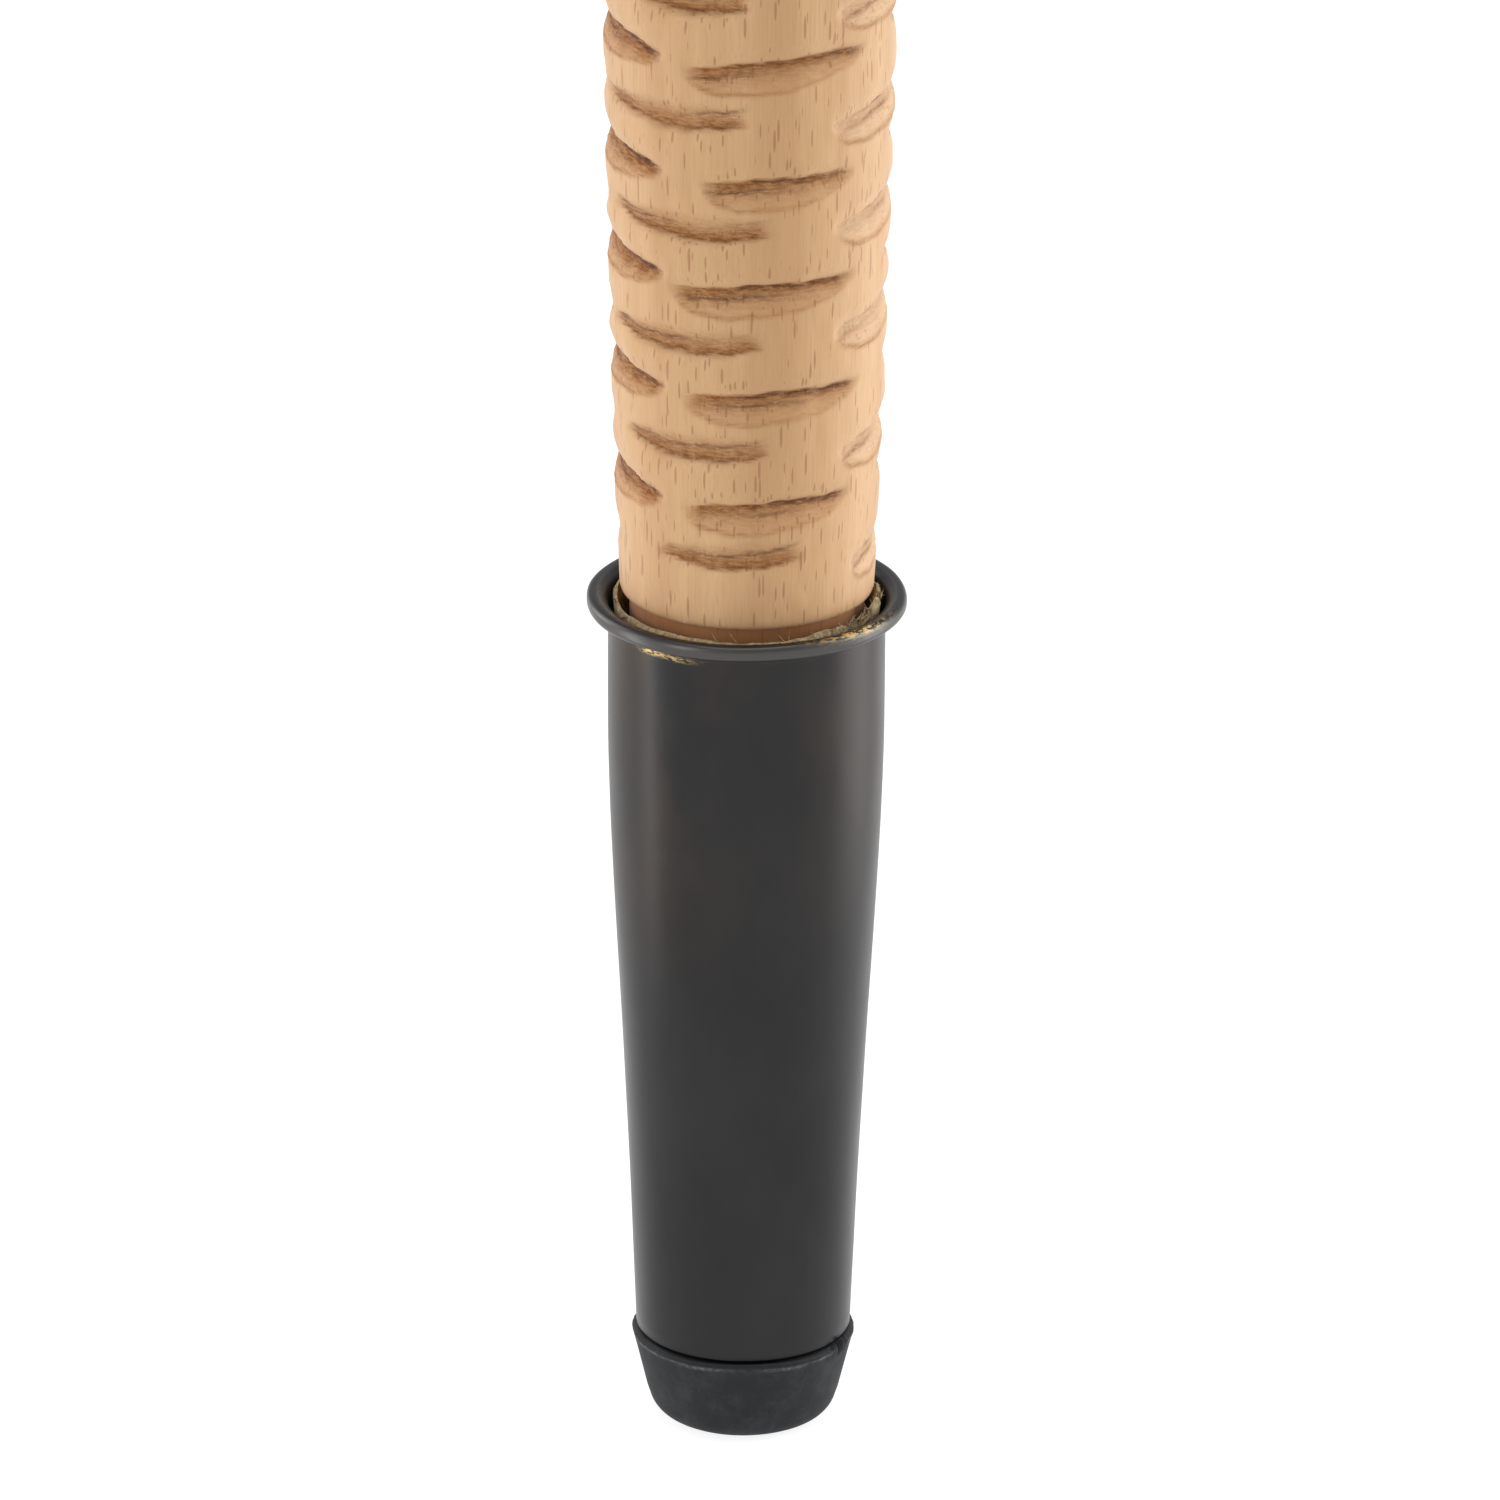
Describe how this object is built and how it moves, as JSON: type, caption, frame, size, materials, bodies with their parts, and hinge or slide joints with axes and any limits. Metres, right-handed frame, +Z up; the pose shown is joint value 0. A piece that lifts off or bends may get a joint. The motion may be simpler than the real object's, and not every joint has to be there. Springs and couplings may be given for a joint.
{
  "type": "underarm crutch",
  "caption": "Wooden underarm crutch: carved round staff in a brass ferrule with rubber tip, clamped double bows, sliding hand grip and padded underarm bar.",
  "frame": {"origin": "on the floor under the middle of the rubber tip", "axes": "+Z up along the staff; the bows spread along X with the wing nuts on +X; depth along Y"},
  "size_m": [0.1842, 0.038, 1.2586],
  "materials": {
    "beech": "carved, lightly waxed",
    "blackened_brass": "blackened, satin, rubbed to bare brass in places",
    "rubber": "moulded, matt",
    "fibre": "coarse torn fibre",
    "steel": "zinc plated, dull",
    "leather": "stitched, satin",
    "stuffing": "felted hair"
  },
  "bodies": {
    "leg": {"rubber_tip": "rubber", "tip_washer": "steel", "tip_screw": "steel", "ferrule": "blackened_brass", "ferrule_liner": "fibre", "staff": "beech"},
    "frame": {"left_bow": "beech", "right_bow": "beech", "lower_clamp_bolt": "steel", "lower_clamp_washer": "steel", "upper_clamp_bolt": "steel", "upper_clamp_washer": "steel", "underarm_bar": "beech", "bar_screw_left": "steel", "bar_screw_right": "steel", "pad_core": "stuffing", "pad_cover": "leather"},
    "grip_carriage": {"grip_bolt": "steel", "grip_inner_washer_left": "steel", "grip_inner_washer_right": "steel", "grip_outer_washer": "steel"},
    "grip": {"hand_grip": "beech"},
    "lower_nut": {"lower_wing_nut": "steel"},
    "upper_nut": {"upper_wing_nut": "steel"},
    "grip_nut": {"grip_wing_nut": "steel"}
  },
  "joints": [
    {"name": "height_slide", "type": "slide", "parent": "leg", "child": "frame", "axis": [0, 0, 1], "range_m": [-0.1, 0.1]},
    {"name": "grip_slide", "type": "slide", "parent": "frame", "child": "grip_carriage", "axis": [0, 0, 1], "range_m": [-0.05, 0.05]},
    {"name": "grip_turn", "type": "hinge", "parent": "grip_carriage", "child": "grip", "pos_m": [0, 0, 0.83], "axis": [1, 0, 0], "continuous": true},
    {"name": "lower_nut_turn", "type": "hinge", "parent": "frame", "child": "lower_nut", "pos_m": [0.036, 0, 0.43], "axis": [1, 0, 0], "continuous": true},
    {"name": "upper_nut_turn", "type": "hinge", "parent": "frame", "child": "upper_nut", "pos_m": [0.036, 0, 0.51], "axis": [1, 0, 0], "continuous": true},
    {"name": "grip_nut_turn", "type": "hinge", "parent": "grip_carriage", "child": "grip_nut", "pos_m": [0.077, 0, 0.83], "axis": [1, 0, 0], "continuous": true}
  ]
}
